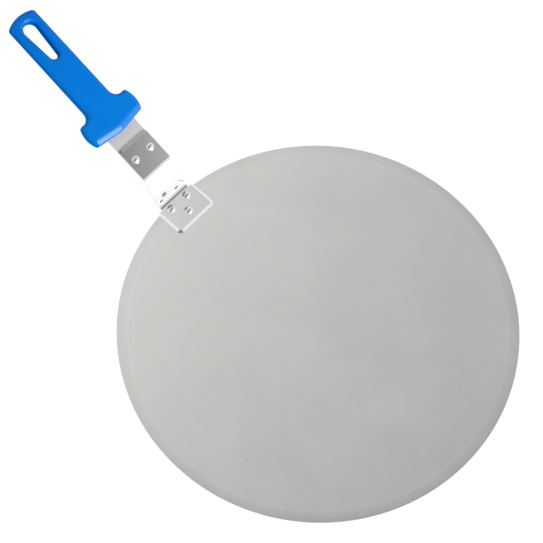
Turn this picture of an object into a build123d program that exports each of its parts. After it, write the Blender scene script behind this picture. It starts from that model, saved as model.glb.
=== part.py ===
"""Round pizza peel: steel blade, double-bent bracket, tang, moulded grip and five rivets.

Millimetres. The blade's centre is at the origin, its underside at z = 0, and the grip points to -X.
"""
import os
from math import atan2, cos, degrees, radians, sin, tan

from build123d import *

# U_ lengths run outward from the blade's centre and S_ lengths up the slope from the upper bend.
# Where a pair (u, v) or (s, v) is given, v is the distance to the right of a user holding the grip.

# Blade
BLADE_R = 165.0
BLADE_T = 1.2
RIM_WIDTH = 9.2
RIM_EDGE_T = 1.05

# Bracket strap
STRAP_T = 1.5
STRAP_HALF = 15.4
FLANGE_HALF = 20.5
U_FLANGE_FRONT = 138.1
U_SHOULDER = 164.8
U_LOWER_BEND = 168.7
U_UPPER_BEND = 182.9
UPPER_BEND_RISE = 31.6
LOWER_BEND_R = 5.0
UPPER_BEND_R = 4.5
PLATE_LENGTH = 33.1
SLOPE_DEG = 22.3
FLANGE_CORNER_R = 4.0
FLANGE_BEVEL_RUN = 2.3
FLANGE_BEVEL_DROP = 1.35
SHOULDER_R = 1.2
STRAP_START = 6.0
PLATE_CORNER_R = 3.0
END_BEVEL_RUN = 3.2
END_BEVEL_DROP = 0.65
END_BEVEL_MARGIN = 3.4

# Tang
TANG_T = 1.5
TANG_HALF = 15.25
TANG_NARROW_HALF = 8.0
S_TANG_START = 6.0
S_TANG_STEP = 59.0
S_TANG_END = 114.0
TANG_CORNER_R = 2.5
S_ANCHOR_HOLES = (77.0, 99.0)
ANCHOR_HOLE_R = 3.0

# Grip outline
S_GRIP_FRONT = 43.3
S_GRIP_TIP = 169.3
GRIP_HALF = 13.85
TIP_ARC_R = 28.0
TIP_CORNER_R = 3.5
FRONT_CORNER_HALF = 24.4
S_FRONT_CORNER = 46.6
LOBE_HALF = 27.1
S_LOBE = 57.1
BACK_CORNER_HALF = 24.6
S_COLLAR_BACK = 67.9
COLLAR_CORNER_R = 1.8
NECK_R = 7.5

# Grip thickness, each side of the tang's middle plane
FRONT_RISE = 7.9
TIP_RISE = 6.1
GRIP_EDGE_R = 4.0
NOSE_RISE = 7.7
NOSE_DROP = 2.3
NOSE_SLOPE_DEG = 25.0
NOSE_BLEND_R = 8.0
NOSE_LENGTH = 140.0
PROFILE_MARGIN = 5.0

# Hanging hole
S_HOLE_NARROW = 127.4
HOLE_NARROW_R = 4.2
S_HOLE_WIDE = 154.2
HOLE_WIDE_R = 6.5
HOLE_EDGE_R = 3.0

# Rivets
HEAD_R = 3.5
HEAD_H = 1.6
SHANK_R = 2.0
FLUSH_TAIL_R = 2.9
FLUSH_TAIL_H = 0.9
CLOSED_TAIL_R = 3.2
CLOSED_TAIL_H = 1.0
BLADE_RIVETS = {"front": (149.3, 0.0), "left": (160.8, -9.0), "right": (160.8, 9.0)}
TANG_RIVETS = {"left": (18.3, -8.4), "right": (18.3, 8.4)}

SEATED = (Align.CENTER, Align.CENTER, Align.MIN)
SLOPE = radians(SLOPE_DEG)
Z_FLANGE_TOP = BLADE_T + STRAP_T
Z_UPPER_BEND = BLADE_T + UPPER_BEND_RISE
NOSE_RUN = NOSE_DROP / tan(radians(NOSE_SLOPE_DEG))
PROW_ANGLE = degrees(atan2(S_FRONT_CORNER - S_GRIP_FRONT, FRONT_CORNER_HALF))
S_TIP_CORNER = S_GRIP_TIP - TIP_ARC_R + (TIP_ARC_R**2 - GRIP_HALF**2) ** 0.5
TANG_MID_DEPTH = STRAP_T + TANG_T / 2


def level_plane(height):
    """Plane level with the blade, x outward towards the grip."""
    return Plane(origin=(0, 0, height), x_dir=(-1, 0, 0), z_dir=(0, 0, 1))


def slope_plane(depth):
    """Plane of the sloping plate, lowered by depth below the plate's top face."""
    origin = (-U_UPPER_BEND - depth * sin(SLOPE), 0, Z_UPPER_BEND - depth * cos(SLOPE))
    return Plane(origin=origin, x_dir=(-cos(SLOPE), 0, sin(SLOPE)), z_dir=(sin(SLOPE), 0, cos(SLOPE)))


def side_plane():
    """Upright plane through the long axis, x outward towards the grip and y up."""
    return Plane(origin=(0, 0, 0), x_dir=(-1, 0, 0), z_dir=(0, 1, 0))


def slope_side_plane(depth):
    """Upright plane along the slope, x up the slope and y square to the plate."""
    face = slope_plane(depth)
    return Plane(origin=face.origin, x_dir=face.x_dir, z_dir=(0, 1, 0))


def prow_plane(side):
    """Plane square to one half of the grip's prow front, x inward and y square to the plate."""
    face = slope_plane(TANG_MID_DEPTH)
    tip = face.from_local_coords((S_GRIP_FRONT, 0, 0))
    inward = face.x_dir.rotate(Axis((0, 0, 0), face.z_dir), side * PROW_ANGLE)
    return Plane(origin=tip, x_dir=inward, z_dir=inward.cross(face.z_dir))


slope_normal = Axis(slope_plane(0).origin, slope_plane(0).z_dir)

# Blade: a flat disc whose rim rolls off to a thinner edge, drilled and countersunk from below
with BuildPart() as blade:
    with BuildSketch(Plane.XZ):
        with BuildLine():
            Polyline(
                (BLADE_R, RIM_EDGE_T),
                (BLADE_R, 0),
                (0, 0),
                (0, BLADE_T),
                (BLADE_R - RIM_WIDTH, BLADE_T),
            )
            TangentArc((BLADE_R - RIM_WIDTH, BLADE_T), (BLADE_R, RIM_EDGE_T), tangent=(1, 0))
        make_face()
    revolve(axis=Axis.Z)
    with BuildSketch(level_plane(0)):
        with Locations(*BLADE_RIVETS.values()):
            Circle(SHANK_R)
    extrude(amount=BLADE_T, mode=Mode.SUBTRACT)
    with Locations(level_plane(0)):
        with Locations(*BLADE_RIVETS.values()):
            Cone(FLUSH_TAIL_R, SHANK_R, FLUSH_TAIL_H, align=SEATED, mode=Mode.SUBTRACT)
blade.part.label = "blade"

# Waste cut from the end of the sloping plate: a slab less a bevelled end that wraps round both corners
with BuildPart() as end_bevel:
    with BuildSketch(slope_plane(END_BEVEL_DROP)):
        with Locations((PLATE_LENGTH, 0)):
            Rectangle(6 * END_BEVEL_RUN, 3 * STRAP_HALF)
    extrude(amount=END_BEVEL_DROP)
    with BuildSketch(slope_plane(END_BEVEL_DROP)) as bevelled_end:
        Rectangle(PLATE_LENGTH, 2 * (STRAP_HALF + END_BEVEL_MARGIN), align=(Align.MIN, Align.CENTER))
        fillet(bevelled_end.vertices().group_by(Axis.X)[-1], PLATE_CORNER_R + END_BEVEL_MARGIN)
    extrude(amount=END_BEVEL_DROP, taper=degrees(atan2(END_BEVEL_RUN, END_BEVEL_DROP)), mode=Mode.SUBTRACT)

# Bracket: a wide flange with bevelled edges, carried into a strap with two bends
with BuildPart() as bracket:
    with BuildSketch(level_plane(BLADE_T)):
        with Locations((U_FLANGE_FRONT, 0)):
            Rectangle(U_SHOULDER - U_FLANGE_FRONT, 2 * FLANGE_HALF, align=(Align.MIN, Align.CENTER))
    extrude(amount=STRAP_T)
    fillet(bracket.edges().filter_by(Axis.Z).group_by(Axis.X)[-1], FLANGE_CORNER_R)
    flange_top = bracket.faces().sort_by(Axis.Z)[-1]
    front_and_sides = flange_top.edges().sort_by(Axis.X)[1:]
    chamfer(front_and_sides, FLANGE_BEVEL_RUN, FLANGE_BEVEL_DROP, reference=flange_top)
    fillet(bracket.edges().filter_by(Axis.Z).group_by(Axis.X)[0], SHOULDER_R)
    with BuildSketch(side_plane()):
        with BuildLine():
            FilletPolyline(
                (U_FLANGE_FRONT + STRAP_START, Z_FLANGE_TOP),
                (U_LOWER_BEND, Z_FLANGE_TOP),
                (U_UPPER_BEND, Z_UPPER_BEND),
                (U_UPPER_BEND + PLATE_LENGTH * cos(SLOPE), Z_UPPER_BEND + PLATE_LENGTH * sin(SLOPE)),
                radius=(LOWER_BEND_R, UPPER_BEND_R),
            )
            offset(amount=STRAP_T, side=Side.RIGHT)
        make_face()
    extrude(amount=STRAP_HALF, both=True)
    fillet(bracket.edges().filter_by(slope_normal), PLATE_CORNER_R)
    add(end_bevel.part, mode=Mode.SUBTRACT)
    with BuildSketch(level_plane(BLADE_T)):
        with Locations(*BLADE_RIVETS.values()):
            Circle(SHANK_R)
    extrude(amount=STRAP_T, mode=Mode.SUBTRACT)
    with BuildSketch(slope_plane(STRAP_T)):
        with Locations(*TANG_RIVETS.values()):
            Circle(SHANK_R)
    extrude(amount=STRAP_T, mode=Mode.SUBTRACT)
bracket.part.label = "bracket"

# Tang: flat strip under the sloping plate, narrowed inside the grip and holed to lock in the plastic
with BuildPart() as tang:
    with BuildSketch(slope_plane(TANG_MID_DEPTH)) as tang_outline:
        with Locations((S_TANG_START, 0)):
            Rectangle(S_TANG_STEP - S_TANG_START, 2 * TANG_HALF, align=(Align.MIN, Align.CENTER))
            Rectangle(S_TANG_END - S_TANG_START, 2 * TANG_NARROW_HALF, align=(Align.MIN, Align.CENTER))
        fillet(tang_outline.vertices(), TANG_CORNER_R)
        with Locations(*TANG_RIVETS.values()):
            Circle(SHANK_R, mode=Mode.SUBTRACT)
        for s in S_ANCHOR_HOLES:
            with Locations((s, 0)):
                Circle(ANCHOR_HOLE_R, mode=Mode.SUBTRACT)
    extrude(amount=TANG_T / 2, both=True)
tang.part.label = "tang"

# Grip: one moulding with a flared collar, a prow front and a hanging hole, moulded round the tang
with BuildPart() as handle:
    with BuildSketch(slope_plane(TANG_MID_DEPTH)) as grip_outline:
        with BuildLine():
            Line((S_GRIP_FRONT, 0), (S_FRONT_CORNER, FRONT_CORNER_HALF))
            ThreePointArc(
                (S_FRONT_CORNER, FRONT_CORNER_HALF),
                (S_LOBE, LOBE_HALF),
                (S_COLLAR_BACK, BACK_CORNER_HALF),
            )
            Line((S_COLLAR_BACK, BACK_CORNER_HALF), (S_COLLAR_BACK, GRIP_HALF + NECK_R))
            RadiusArc(
                (S_COLLAR_BACK, GRIP_HALF + NECK_R),
                (S_COLLAR_BACK + NECK_R, GRIP_HALF),
                -NECK_R,
            )
            Line((S_COLLAR_BACK + NECK_R, GRIP_HALF), (S_TIP_CORNER, GRIP_HALF))
            RadiusArc((S_TIP_CORNER, GRIP_HALF), (S_GRIP_TIP, 0), TIP_ARC_R)
            mirror(about=Plane.XZ)
        make_face()
        collar_corners = grip_outline.vertices().filter_by(lambda p: abs(p.Y) > FRONT_CORNER_HALF - 0.1)
        fillet(collar_corners, COLLAR_CORNER_R)
        fillet(grip_outline.vertices().group_by(Axis.X)[-1], TIP_CORNER_R)
    extrude(amount=FRONT_RISE + PROFILE_MARGIN, both=True)
    with BuildSketch(slope_side_plane(TANG_MID_DEPTH)):
        with BuildLine():
            Polyline(
                (S_GRIP_FRONT - PROFILE_MARGIN, -FRONT_RISE),
                (S_GRIP_TIP + PROFILE_MARGIN, -TIP_RISE),
                (S_GRIP_TIP + PROFILE_MARGIN, TIP_RISE),
                (S_GRIP_FRONT - PROFILE_MARGIN, FRONT_RISE),
                close=True,
            )
        make_face()
    extrude(amount=LOBE_HALF + PROFILE_MARGIN, both=True, mode=Mode.INTERSECT)
    faces_by_height = handle.faces().sort_by(slope_normal)
    fillet(faces_by_height[0].edges() + faces_by_height[-1].edges(), GRIP_EDGE_R)
    with BuildSketch(slope_plane(TANG_MID_DEPTH)):
        with Locations((S_HOLE_NARROW, 0)):
            Circle(HOLE_NARROW_R)
        with Locations((S_HOLE_WIDE, 0)):
            Circle(HOLE_WIDE_R)
        make_hull()
    extrude(amount=FRONT_RISE + PROFILE_MARGIN, both=True, mode=Mode.SUBTRACT)
    faces_by_height = handle.faces().sort_by(slope_normal)
    hole_edges = faces_by_height[0].inner_wires().edges() + faces_by_height[-1].inner_wires().edges()
    fillet(hole_edges, HOLE_EDGE_R)
    for side in (1, -1):
        with BuildSketch(prow_plane(side)) as nose_section:
            with BuildLine():
                Polyline(
                    (NOSE_LENGTH, NOSE_RISE),
                    (NOSE_RUN, NOSE_RISE),
                    (0, NOSE_RISE - NOSE_DROP),
                    (0, 0),
                    (NOSE_LENGTH, 0),
                    close=True,
                )
            make_face()
            mirror(about=Plane.XZ)
            fillet(nose_section.vertices().sort_by(Axis.X)[2:4], NOSE_BLEND_R)
        extrude(amount=2 * LOBE_HALF, both=True, mode=Mode.INTERSECT)
    add(tang.part, mode=Mode.SUBTRACT)
handle.part.label = "handle"


def dome_radius(rim_radius, height):
    """Radius of the sphere whose cap has this rim and height."""
    return (rim_radius**2 + height**2) / (2 * height)


def make_rivet(label, seat, grip_length, flush):
    """Domed rivet seated on a plane: its tail is flush in a countersink, or closed into a low dome."""
    with BuildPart() as rivet:
        with BuildSketch(Plane.XZ):
            with BuildLine():
                RadiusArc((0, HEAD_H), (HEAD_R, 0), dome_radius(HEAD_R, HEAD_H))
                if flush:
                    Polyline(
                        (HEAD_R, 0),
                        (SHANK_R, 0),
                        (SHANK_R, FLUSH_TAIL_H - grip_length),
                        (FLUSH_TAIL_R, -grip_length),
                        (0, -grip_length),
                        (0, HEAD_H),
                    )
                else:
                    Polyline(
                        (HEAD_R, 0),
                        (SHANK_R, 0),
                        (SHANK_R, -grip_length),
                        (CLOSED_TAIL_R, -grip_length),
                    )
                    RadiusArc(
                        (CLOSED_TAIL_R, -grip_length),
                        (0, -grip_length - CLOSED_TAIL_H),
                        dome_radius(CLOSED_TAIL_R, CLOSED_TAIL_H),
                    )
                    Line((0, -grip_length - CLOSED_TAIL_H), (0, HEAD_H))
            make_face()
        revolve(axis=Axis.Z)
    rivet.part.label = label
    return seat.location * rivet.part


pieces = [blade.part, bracket.part, tang.part, handle.part]
for name, (u, v) in BLADE_RIVETS.items():
    seat = level_plane(Z_FLANGE_TOP)
    seat = seat.shift_origin(seat.from_local_coords((u, v, 0)))
    pieces.append(make_rivet(f"blade_rivet_{name}", seat, Z_FLANGE_TOP, True))
for name, (s, v) in TANG_RIVETS.items():
    seat = slope_plane(0)
    seat = seat.shift_origin(seat.from_local_coords((s, v, 0)))
    pieces.append(make_rivet(f"tang_rivet_{name}", seat, STRAP_T + TANG_T, False))

os.makedirs("parts", exist_ok=True)
for piece in pieces:
    export_step(piece, f"parts/{piece.label}.step")
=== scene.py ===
"""Looks for the round pizza peel: procedural steel and plastic, a white floor and soft studio light."""
from math import cos, pi, radians, sin, tan

import bpy
from mathutils import Euler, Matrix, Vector

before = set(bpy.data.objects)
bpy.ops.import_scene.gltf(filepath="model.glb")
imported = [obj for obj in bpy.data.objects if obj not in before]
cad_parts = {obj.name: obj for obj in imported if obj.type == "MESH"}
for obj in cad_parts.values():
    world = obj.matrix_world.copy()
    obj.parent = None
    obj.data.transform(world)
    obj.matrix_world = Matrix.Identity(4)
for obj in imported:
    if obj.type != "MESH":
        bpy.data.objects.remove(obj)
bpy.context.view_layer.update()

# Camera: place in metres, angles in degrees, lens and sensor in millimetres
CAMERA_PLACE = (0.2682, -0.3381, 1.1239)
CAMERA_HEADING = 43.49
CAMERA_ELEVATION = 66.997
CAMERA_LENS = 97.117
SENSOR_WIDTH = 36.0

# Floor: half its side and how far it lies below the peel, in metres, then its finish
FLOOR_HALF = 9.0
FLOOR_DROP = 0.0002
FLOOR_GLOW = 0.90
FLOOR_COLOUR = (0.1, 0.1, 0.1, 1.0)
FLOOR_CLOUDS = 3.0
FLOOR_SMOOTH = 0.88
FLOOR_ROUGH = 0.92

# White for the floor's glow and the surroundings
WHITE = (1.0, 1.0, 1.0, 1.0)

# Surroundings, in degrees. Azimuths are measured to the left from the camera's right hand.
# Each dim patch has an azimuth, an elevation, an inner and an outer angle, and its level inside.
SKY_LEVEL = 1.377
DIM_PATCHES = (
    (44.6, 57.8, 19.3, 31.2, 0.465),
    (-97.7, 68.3, 33.0, 36.5, 0.35),
    (-116.0, 34.0, 8.0, 30.0, 0.45),
    (-24.0, 30.0, 6.0, 15.0, 0.72),
)

# Softboxes: their distance in metres, then each one's azimuth, elevation, width and height in
# degrees, and its level
SOFTBOX_DISTANCE = 2.2
SOFTBOXES = {
    "key": (-42.5, 20.0, 20.0, 20.0, 32.0),
    "low": (-27.0, 9.0, 13.0, 26.0, 1.15),
}

# Blade rim, in metres from the blade's centre, and the tones of its painted highlight ring and of the
# painted shade at its edge
RIM_INNER = 0.1558
RIM_OUTER = 0.165
RING_HALF = 0.0009
RING_HIGHLIGHT_TONE = 1.05
EDGE_SHADE_TONE = 0.90

# Directions fixed in the peel: square to the grip's sloping length, and forward along the peel
GRIP_SLOPE = radians(22.3)
GRIP_UP = (sin(GRIP_SLOPE), 0.0, cos(GRIP_SLOPE))
FORWARD = (1.0, 0.0, 0.0)

# Values that most of one noise lies between, and most of the mean of two noises
NOISE_RANGE = (0.3, 0.7)
MOTTLE_RANGE = (0.35, 0.65)

# Edge mask: how well the rounded and the true surface directions match where it starts
EDGE_MATCH = 0.98
BEVEL_SAMPLES = 6

# Steel: noise scales per metre, bump depths and edge radius in metres
GRAIN_SCALE = 900.0
GRAIN_STRETCH = 22.0
GRAIN_DEPTH = 0.00001
STEEL_CLOUDS = 16.0
SCRATCH_SCALE = 420.0
SCRATCH_STRETCH = 60.0
SCRATCH_TURN = 0.6
SCRATCH_RANGE = (0.66, 0.72)
SCRATCH_DEPTH = 0.000004
SCRATCH_ROUGHNESS = 0.03
STEEL_RELIEF = 0.3
STEEL_EDGE = 0.0004
STEEL_EDGE_SPREAD = 0.25
# How far edges are lightened, partly for wear and partly as a painted highlight
STEEL_EDGE_WEAR_AND_HIGHLIGHT = 0.5
STEEL_EDGE_POLISH = 0.03

# Plastic: noise scales per metre, bump depth and edge radius in metres
PLASTIC_CLOUDS = 30.0
PORE_SCALE = 2600.0
PORE_DEPTH = 0.00002
PORE_RELIEF = 0.12
FLOW_SCALE = 90.0
FLOW_STRETCH = 7.0
PLASTIC_EDGE = 0.0012
PLASTIC_EDGE_SPREAD = 0.12
# How far edges are lightened, partly for rubbing and partly as a painted highlight
PLASTIC_EDGE_WEAR_AND_HIGHLIGHT = 0.35
PLASTIC_SMOOTH = 0.28
PLASTIC_ROUGH = 0.33
COAT_IOR = 1.46
COAT_ROUGHNESS = 0.30

# Plastic's blue: painted shade darkens it from the collar to the tip, places in metres along X, and the
# shares of the change that come from the painted shade along the grip and from mottle
GRIP_TIP = -0.34
GRIP_COLLAR = -0.24
TIP_SHADE_SHARE = 0.7
MOTTLE_SHARE = 0.3

# Plastic's gloss: how far a face has to point up or forward for it, and how strong it is there
TOP_FACING = (0.25, 0.85)
TOP_GLOSS = 0.16
FRONT_FACING = (0.52, 0.66)
FRONT_RISING = (0.4, 0.75)
FRONT_GLOSS = 0.44
MOTTLE_GLOSS = (1.1, 0.9)


def toward(azimuth, elevation):
    """Unit vector at an azimuth to the left of the camera's right hand and an elevation above level."""
    turn = radians(azimuth + CAMERA_HEADING)
    rise = radians(elevation)
    return Vector((cos(turn) * cos(rise), sin(turn) * cos(rise), sin(rise)))


class Nodes:
    """Short ways to add nodes to one tree."""

    def __init__(self, tree):
        self.tree = tree
        self.place = tree.nodes.new("ShaderNodeTexCoord")

    def feed(self, socket, value):
        """Links a socket, or sets a plain number or vector on it."""
        if isinstance(value, bpy.types.NodeSocket):
            self.tree.links.new(value, socket)
        else:
            socket.default_value = value

    def math(self, operation, first, second=0.0):
        """One sum, product or other operation on two values."""
        node = self.tree.nodes.new("ShaderNodeMath")
        node.operation = operation
        self.feed(node.inputs[0], first)
        self.feed(node.inputs[1], second)
        return node.outputs["Value"]

    def dot(self, vector, direction):
        """How far a vector points along a direction."""
        node = self.tree.nodes.new("ShaderNodeVectorMath")
        node.operation = "DOT_PRODUCT"
        self.feed(node.inputs[0], vector)
        self.feed(node.inputs[1], direction)
        return node.outputs["Value"]

    def remap(self, value, start, end, low=0.0, high=1.0):
        """A value's run from start to end, as a run from low to high."""
        node = self.tree.nodes.new("ShaderNodeMapRange")
        node.inputs["From Min"].default_value = start
        node.inputs["From Max"].default_value = end
        node.inputs["To Min"].default_value = low
        node.inputs["To Max"].default_value = high
        self.feed(node.inputs["Value"], value)
        return node.outputs["Result"]

    def noise(self, scale, stretch=(1.0, 1.0, 1.0), turn=(0.0, 0.0, 0.0), detail=3.0, roughness=0.5):
        """Fractal noise in object space, mostly within NOISE_RANGE."""
        mapping = self.tree.nodes.new("ShaderNodeMapping")
        mapping.vector_type = "TEXTURE"
        mapping.inputs["Scale"].default_value = stretch
        mapping.inputs["Rotation"].default_value = turn
        texture = self.tree.nodes.new("ShaderNodeTexNoise")
        texture.inputs["Scale"].default_value = scale
        texture.inputs["Detail"].default_value = detail
        texture.inputs["Roughness"].default_value = roughness
        self.feed(mapping.inputs["Vector"], self.place.outputs["Object"])
        self.feed(texture.inputs["Vector"], mapping.outputs["Vector"])
        return texture.outputs["Fac"]

    def blend(self, factor, low, high):
        """Two colours mixed by a factor."""
        node = self.tree.nodes.new("ShaderNodeMix")
        node.data_type = "RGBA"
        colours = [entry for entry in node.inputs if entry.type == "RGBA"]
        self.feed(node.inputs["Factor"], factor)
        for socket, colour in zip(colours, (low, high)):
            self.feed(socket, colour if isinstance(colour, bpy.types.NodeSocket) else (*colour, 1.0))
        return next(entry for entry in node.outputs if entry.type == "RGBA")

    def edges(self, radius, spread):
        """A mask that is 1 along edges and 0 on open faces."""
        rounded = self.tree.nodes.new("ShaderNodeBevel")
        rounded.samples = BEVEL_SAMPLES
        rounded.inputs["Radius"].default_value = radius
        surface = self.tree.nodes.new("ShaderNodeNewGeometry")
        match = self.dot(rounded.outputs["Normal"], surface.outputs["Normal"])
        return self.remap(match, EDGE_MATCH, EDGE_MATCH - spread)

    def bump(self, height, distance, strength, under=None):
        """A normal raised by a height, over another normal where one is given."""
        node = self.tree.nodes.new("ShaderNodeBump")
        node.inputs["Strength"].default_value = strength
        node.inputs["Distance"].default_value = distance
        self.feed(node.inputs["Height"], height)
        if under is not None:
            self.feed(node.inputs["Normal"], under)
        return node.outputs["Normal"]


def new_material(name):
    """A node material, its node helper and its shader."""
    material = bpy.data.materials.new(name)
    material.use_nodes = True
    tree = material.node_tree
    return material, Nodes(tree), tree.nodes["Principled BSDF"]


def rim_highlight_and_shade(nodes):
    """Tone of the blade by radius: a painted highlight ring where the rim begins, and painted shade
    darkening outwards from it.
    """
    flat = nodes.tree.nodes.new("ShaderNodeVectorMath")
    flat.operation = "MULTIPLY"
    flat.inputs[1].default_value = (1.0, 1.0, 0.0)
    radius = nodes.tree.nodes.new("ShaderNodeVectorMath")
    radius.operation = "LENGTH"
    nodes.feed(flat.inputs[0], nodes.place.outputs["Object"])
    nodes.feed(radius.inputs[0], flat.outputs["Vector"])
    distance = radius.outputs["Value"]
    # Painted shade darkens the rim outwards; a painted highlight ring lightens where the rim begins
    fade = nodes.remap(distance, RIM_INNER, RIM_OUTER, 1.0, EDGE_SHADE_TONE)
    rise = nodes.remap(distance, RIM_INNER - RING_HALF, RIM_INNER)
    fall = nodes.remap(distance, RIM_INNER, RIM_INNER + RING_HALF, 1.0, 0.0)
    ring = nodes.remap(nodes.math("MULTIPLY", rise, fall), 0.0, 1.0, 1.0, RING_HIGHLIGHT_TONE)
    return nodes.math("MULTIPLY", fade, ring)


def steel(name, dark, light, smooth, rough, worn_and_highlight, stretch=GRAIN_STRETCH, rim=False):
    """Rolled steel: fine grain, cloudy gloss, hairline scratches, and edges lightened partly for wear and
    partly as a painted highlight.
    """
    material, nodes, shader = new_material(name)
    shader.inputs["Metallic"].default_value = 1.0
    grain = nodes.noise(GRAIN_SCALE, (stretch, 1.0, 1.0), detail=5.0, roughness=0.6)
    clouds = nodes.noise(STEEL_CLOUDS)
    scratch = nodes.noise(SCRATCH_SCALE, (SCRATCH_STRETCH, 1.0, 1.0), (0.0, 0.0, SCRATCH_TURN), detail=2.0)
    hairlines = nodes.remap(scratch, *SCRATCH_RANGE)
    mottle = nodes.math("MULTIPLY", nodes.math("ADD", grain, clouds), 0.5)
    edge = nodes.edges(STEEL_EDGE, STEEL_EDGE_SPREAD)

    colour = nodes.blend(nodes.remap(mottle, *MOTTLE_RANGE), dark, light)
    # Edges lightened: partly wear, partly a painted highlight on the bevels
    colour = nodes.blend(nodes.math("MULTIPLY", edge, STEEL_EDGE_WEAR_AND_HIGHLIGHT), colour, worn_and_highlight)
    # Painted highlight ring and painted shade on the blade's rim
    if rim:
        scale = nodes.tree.nodes.new("ShaderNodeVectorMath")
        scale.operation = "SCALE"
        nodes.feed(scale.inputs[0], colour)
        nodes.feed(scale.inputs["Scale"], rim_highlight_and_shade(nodes))
        colour = scale.outputs["Vector"]
    nodes.feed(shader.inputs["Base Color"], colour)

    roughness = nodes.remap(mottle, *MOTTLE_RANGE, smooth, rough)
    roughness = nodes.math("ADD", roughness, nodes.math("MULTIPLY", hairlines, SCRATCH_ROUGHNESS))
    roughness = nodes.math("SUBTRACT", roughness, nodes.math("MULTIPLY", edge, STEEL_EDGE_POLISH))
    nodes.feed(shader.inputs["Roughness"], roughness)

    relief = nodes.bump(grain, GRAIN_DEPTH, STEEL_RELIEF)
    relief = nodes.bump(hairlines, -SCRATCH_DEPTH, STEEL_RELIEF, relief)
    nodes.feed(shader.inputs["Normal"], relief)
    return material


def plastic(name, dark, light, worn_and_highlight):
    """Moulded plastic: darker blue towards the tip as painted shade, fine pores, a glossier front, and
    edges lightened partly for rubbing and partly as a painted highlight.
    """
    material, nodes, shader = new_material(name)
    clouds = nodes.noise(PLASTIC_CLOUDS)
    pores = nodes.noise(PORE_SCALE, detail=2.0, roughness=0.6)
    flow = nodes.noise(FLOW_SCALE, (FLOW_STRETCH, 1.0, 1.0), detail=2.0)
    mottle = nodes.math("MULTIPLY", nodes.math("ADD", clouds, flow), 0.5)
    edge = nodes.edges(PLASTIC_EDGE, PLASTIC_EDGE_SPREAD)

    # Painted shade: the blue darkens from the collar towards the tip
    along = nodes.dot(nodes.place.outputs["Object"], FORWARD)
    place = nodes.remap(along, GRIP_TIP, GRIP_COLLAR, 0.0, TIP_SHADE_SHARE)
    cloudy = nodes.remap(mottle, *MOTTLE_RANGE, 0.0, MOTTLE_SHARE)
    colour = nodes.blend(nodes.math("ADD", place, cloudy), dark, light)
    # Edges lightened: partly rubbing, partly a painted highlight
    colour = nodes.blend(nodes.math("MULTIPLY", edge, PLASTIC_EDGE_WEAR_AND_HIGHLIGHT), colour, worn_and_highlight)
    nodes.feed(shader.inputs["Base Color"], colour)

    roughness = nodes.remap(mottle, *MOTTLE_RANGE, PLASTIC_SMOOTH, PLASTIC_ROUGH)
    nodes.feed(shader.inputs["Roughness"], roughness)
    nodes.feed(shader.inputs["Normal"], nodes.bump(pores, PORE_DEPTH, PORE_RELIEF))

    # All the shine comes from the coat
    shader.inputs["Specular IOR Level"].default_value = 0.0
    shader.inputs["Coat IOR"].default_value = COAT_IOR
    shader.inputs["Coat Roughness"].default_value = COAT_ROUGHNESS
    upward = nodes.dot(nodes.place.outputs["Normal"], GRIP_UP)
    forward = nodes.dot(nodes.place.outputs["Normal"], FORWARD)
    top = nodes.remap(upward, *TOP_FACING, 0.0, TOP_GLOSS)
    front = nodes.remap(forward, *FRONT_FACING, 0.0, FRONT_GLOSS)
    front = nodes.math("MULTIPLY", front, nodes.remap(upward, *FRONT_RISING))
    gloss = nodes.math("ADD", top, front)
    gloss = nodes.math("MULTIPLY", gloss, nodes.remap(mottle, *MOTTLE_RANGE, *MOTTLE_GLOSS))
    nodes.feed(shader.inputs["Coat Weight"], gloss)
    return material


def dress(node, material):
    """Gives a CAD node a finished material in every slot."""
    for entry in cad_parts[node].material_slots:
        entry.material = material


def build_floor():
    """Glowing white floor under the peel."""
    mesh = bpy.data.meshes.new("floor")
    signs = ((-1, -1), (1, -1), (1, 1), (-1, 1))
    corners = [(x * FLOOR_HALF, y * FLOOR_HALF, -FLOOR_DROP) for x, y in signs]
    mesh.from_pydata(corners, [], [(0, 1, 2, 3)])
    floor = bpy.data.objects.new("floor", mesh)
    bpy.context.scene.collection.objects.link(floor)
    material, nodes, shader = new_material("floor_white")
    shader.inputs["Base Color"].default_value = FLOOR_COLOUR
    roughness = nodes.remap(nodes.noise(FLOOR_CLOUDS), *NOISE_RANGE, FLOOR_SMOOTH, FLOOR_ROUGH)
    nodes.feed(shader.inputs["Roughness"], roughness)
    shader.inputs["Emission Color"].default_value = WHITE
    shader.inputs["Emission Strength"].default_value = FLOOR_GLOW
    mesh.materials.append(material)


def build_world():
    """Soft white surroundings with dimmer patches, as a studio has around its lights and camera."""
    world = bpy.data.worlds.new("studio")
    bpy.context.scene.world = world
    world.use_nodes = True
    nodes = Nodes(world.node_tree)
    background = world.node_tree.nodes["Background"]
    level = SKY_LEVEL
    for azimuth, elevation, inner, outer, inside in DIM_PATCHES:
        match = nodes.dot(nodes.place.outputs["Generated"], toward(azimuth, elevation))
        share = nodes.remap(match, cos(radians(inner)), cos(radians(outer)), inside, 1.0)
        level = nodes.math("MULTIPLY", level, share)
    nodes.feed(background.inputs["Strength"], level)
    background.inputs["Color"].default_value = WHITE


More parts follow.
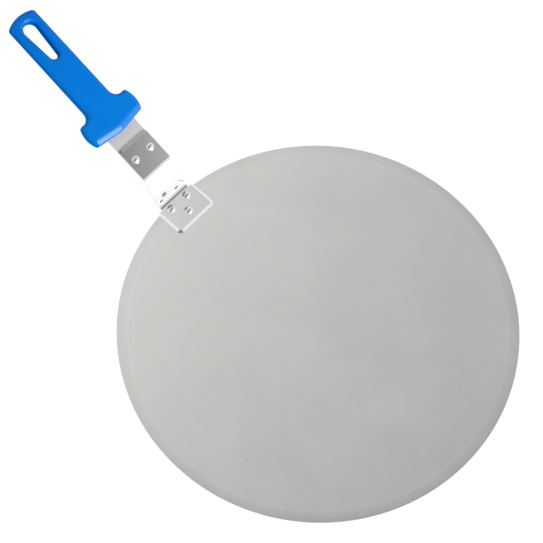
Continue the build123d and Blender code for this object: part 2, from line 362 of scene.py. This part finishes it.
def build_softbox(name, azimuth, elevation, width, height, level):
    """Square-on area light at a distance, sized in degrees seen from the peel."""
    light = bpy.data.lights.new(name, "AREA")
    light.shape = "RECTANGLE"
    light.size = 2 * SOFTBOX_DISTANCE * tan(radians(width / 2))
    light.size_y = 2 * SOFTBOX_DISTANCE * tan(radians(height / 2))
    light.energy = pi * light.size * light.size_y * level
    box = bpy.data.objects.new(name, light)
    direction = toward(azimuth, elevation)
    box.location = direction * SOFTBOX_DISTANCE
    box.rotation_euler = direction.to_track_quat("Z", "Y").to_euler()
    bpy.context.scene.collection.objects.link(box)


def build_camera():
    """Camera at the viewing angle of the reference picture."""
    camera = bpy.data.cameras.new("camera")
    camera.lens = CAMERA_LENS
    camera.sensor_width = SENSOR_WIDTH
    camera.sensor_fit = "HORIZONTAL"
    view = bpy.data.objects.new("camera", camera)
    view.location = CAMERA_PLACE
    view.rotation_euler = Euler((radians(90.0 - CAMERA_ELEVATION), 0.0, radians(CAMERA_HEADING)))
    bpy.context.scene.collection.objects.link(view)
    bpy.context.scene.camera = view


blade_steel = steel(
    "blade_steel",
    dark=(0.60, 0.592, 0.578),
    light=(0.64, 0.632, 0.617),
    smooth=0.31,
    rough=0.36,
    worn_and_highlight=(0.74, 0.73, 0.715),
    rim=True,
)
bracket_steel = steel(
    "bracket_steel",
    dark=(0.585, 0.585, 0.58),
    light=(0.605, 0.605, 0.60),
    smooth=0.06,
    rough=0.10,
    worn_and_highlight=(0.74, 0.74, 0.735),
)
tang_steel = steel(
    "tang_steel",
    dark=(0.645, 0.645, 0.637),
    light=(0.685, 0.685, 0.677),
    smooth=0.38,
    rough=0.43,
    worn_and_highlight=(0.78, 0.78, 0.77),
)
rivet_steel = steel(
    "rivet_steel",
    dark=(0.56, 0.56, 0.555),
    light=(0.60, 0.60, 0.595),
    smooth=0.24,
    rough=0.28,
    worn_and_highlight=(0.72, 0.72, 0.71),
    stretch=2.0,
)
grip_plastic = plastic(
    "grip_plastic",
    dark=(0.0, 0.0951, 0.391),
    light=(0.0, 0.1334, 0.469),
    worn_and_highlight=(0.0, 0.135, 0.50),
)

dress("blade", blade_steel)
dress("bracket", bracket_steel)
dress("tang", tang_steel)
dress("handle", grip_plastic)
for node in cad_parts:
    if "rivet" in node:
        dress(node, rivet_steel)

build_floor()
build_world()
for name, place in SOFTBOXES.items():
    build_softbox(name, *place)
build_camera()
bpy.context.scene.view_settings.view_transform = "Standard"
